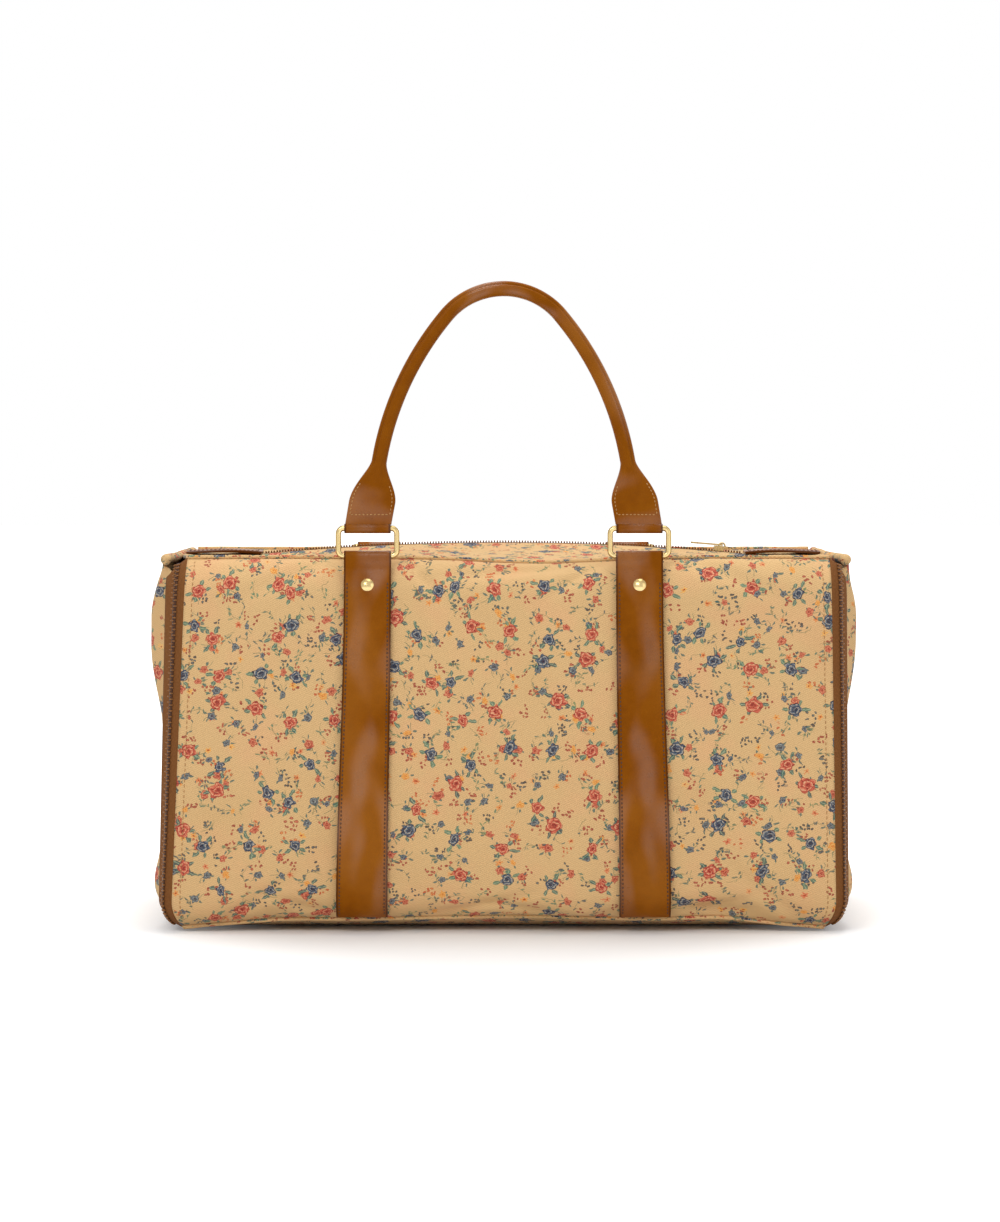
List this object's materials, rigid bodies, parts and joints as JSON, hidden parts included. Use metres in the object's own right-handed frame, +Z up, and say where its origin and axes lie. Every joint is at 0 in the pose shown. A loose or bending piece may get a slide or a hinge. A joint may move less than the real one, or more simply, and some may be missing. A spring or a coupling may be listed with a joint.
{
  "type": "garment duffel bag",
  "caption": "Soft floral cloth garment duffel that zips round both ends and along the top, with leather straps, brass rings and rolled handles that swing.",
  "frame": {"origin": "middle of the flat base, on the floor", "axes": "+X along the bag to the picture's right, -Y to the front, +Z up"},
  "size_m": [0.5642, 0.3239, 0.5146],
  "materials": {
    "floral_cloth": "printed twill",
    "lining_cloth": "plain weave",
    "leather": "smooth, semi-gloss",
    "brass_hardware": "polished",
    "zip_tape": "woven tape",
    "zip_coil": "satin nylon"
  },
  "bodies": {
    "shell": {"front_panel": "floral_cloth", "back_panel": "floral_cloth", "bottom_panel": "floral_cloth", "top_front_panel": "floral_cloth", "top_back_panel": "floral_cloth", "left_end_panel": "floral_cloth", "right_end_panel": "floral_cloth", "lining": "lining_cloth", "front_top_welt": "floral_cloth", "back_top_welt": "floral_cloth", "front_bottom_welt": "floral_cloth", "back_bottom_welt": "floral_cloth", "left_end_binding": "floral_cloth", "right_end_binding": "floral_cloth", "front_left_strap": "leather", "front_right_strap": "leather", "back_left_strap": "leather", "back_right_strap": "leather", "strap_rivets": "brass_hardware", "top_zip_front_tape": "zip_tape", "top_zip_back_tape": "zip_tape", "top_zip_front_coil": "zip_coil", "top_zip_back_coil": "zip_coil", "left_zip_tab": "leather", "right_zip_tab": "leather", "left_zip_panel_tape": "zip_tape", "left_zip_end_tape": "zip_tape", "left_zip_panel_coil": "zip_coil", "left_zip_end_coil": "zip_coil", "right_zip_panel_tape": "zip_tape", "right_zip_end_tape": "zip_tape", "right_zip_panel_coil": "zip_coil", "right_zip_end_coil": "zip_coil", "left_ring_tab": "leather", "right_ring_tab": "leather"},
    "front_left_ring": {"front_left_ring": "brass_hardware"},
    "front_right_ring": {"front_right_ring": "brass_hardware"},
    "back_left_ring": {"back_left_ring": "brass_hardware"},
    "back_right_ring": {"back_right_ring": "brass_hardware"},
    "front_handle": {"front_handle": "leather"},
    "back_handle": {"back_handle": "leather"},
    "top_slider": {"top_zip_slider": "brass_hardware"},
    "top_pull": {"top_zip_pull": "brass_hardware"},
    "left_slider": {"left_zip_slider": "brass_hardware"},
    "left_pull": {"left_zip_pull": "brass_hardware"},
    "right_slider": {"right_zip_slider": "brass_hardware"},
    "right_pull": {"right_zip_pull": "brass_hardware"},
    "left_end_ring": {"left_end_ring": "brass_hardware"},
    "right_end_ring": {"right_end_ring": "brass_hardware"}
  },
  "joints": [
    {"name": "front_left_ring_swing", "type": "hinge", "parent": "shell", "child": "front_left_ring", "pos_m": [-0.107, -0.13049, 0.299], "axis": [1, 0, 0], "range_deg": [-18, 125]},
    {"name": "front_right_ring_swing", "type": "hinge", "parent": "shell", "child": "front_right_ring", "pos_m": [0.107, -0.13049, 0.299], "axis": [1, 0, 0], "range_deg": [-18, 125]},
    {"name": "front_handle_swing", "type": "hinge", "parent": "front_left_ring", "child": "front_handle", "pos_m": [0, -0.13049, 0.3206], "axis": [1, 0, 0], "range_deg": [-17, 47]},
    {"name": "back_left_ring_swing", "type": "hinge", "parent": "shell", "child": "back_left_ring", "pos_m": [-0.107, 0.13049, 0.299], "axis": [1, 0, 0], "range_deg": [0, 143]},
    {"name": "back_right_ring_swing", "type": "hinge", "parent": "shell", "child": "back_right_ring", "pos_m": [0.107, 0.13049, 0.299], "axis": [1, 0, 0], "range_deg": [0, 143]},
    {"name": "back_handle_swing", "type": "hinge", "parent": "back_left_ring", "child": "back_handle", "pos_m": [0, 0.14818, 0.28661], "axis": [1, 0, 0], "range_deg": [0, 64]},
    {"name": "top_slider_run", "type": "hinge", "parent": "shell", "child": "top_slider", "pos_m": [0, 0, -1.85456], "axis": [0, 1, 0], "range_deg": [-9.5, 0]},
    {"name": "top_pull_flip", "type": "hinge", "parent": "top_slider", "child": "top_pull", "pos_m": [0.18045, 0, 0.30387], "axis": [0, 1, 0], "range_deg": [0, 170]},
    {"name": "right_slider_run", "type": "slide", "parent": "shell", "child": "right_slider", "axis": [0, 0, -1], "range_m": [0, 0.21]},
    {"name": "right_pull_flip", "type": "hinge", "parent": "right_slider", "child": "right_pull", "pos_m": [0.27415, 0.13238, 0.25771], "axis": [0.5871, -0.8095, 0], "range_deg": [0, 170]},
    {"name": "left_slider_run", "type": "slide", "parent": "shell", "child": "left_slider", "axis": [0, 0, -1], "range_m": [0, 0.21]},
    {"name": "left_pull_flip", "type": "hinge", "parent": "left_slider", "child": "left_pull", "pos_m": [-0.27415, 0.13238, 0.25771], "axis": [0.5871, 0.8095, 0], "range_deg": [0, 170]},
    {"name": "right_end_ring_swing", "type": "hinge", "parent": "shell", "child": "right_end_ring", "pos_m": [0.2789, 0, 0.263], "axis": [0, -1, 0], "range_deg": [0, 150]},
    {"name": "left_end_ring_swing", "type": "hinge", "parent": "shell", "child": "left_end_ring", "pos_m": [-0.2789, 0, 0.263], "axis": [0, 1, 0], "range_deg": [0, 150]}
  ],
  "couplings": [
    {"joint": "front_right_ring_swing", "follows": "front_left_ring_swing", "ratio": 1},
    {"joint": "back_right_ring_swing", "follows": "back_left_ring_swing", "ratio": 1}
  ]
}
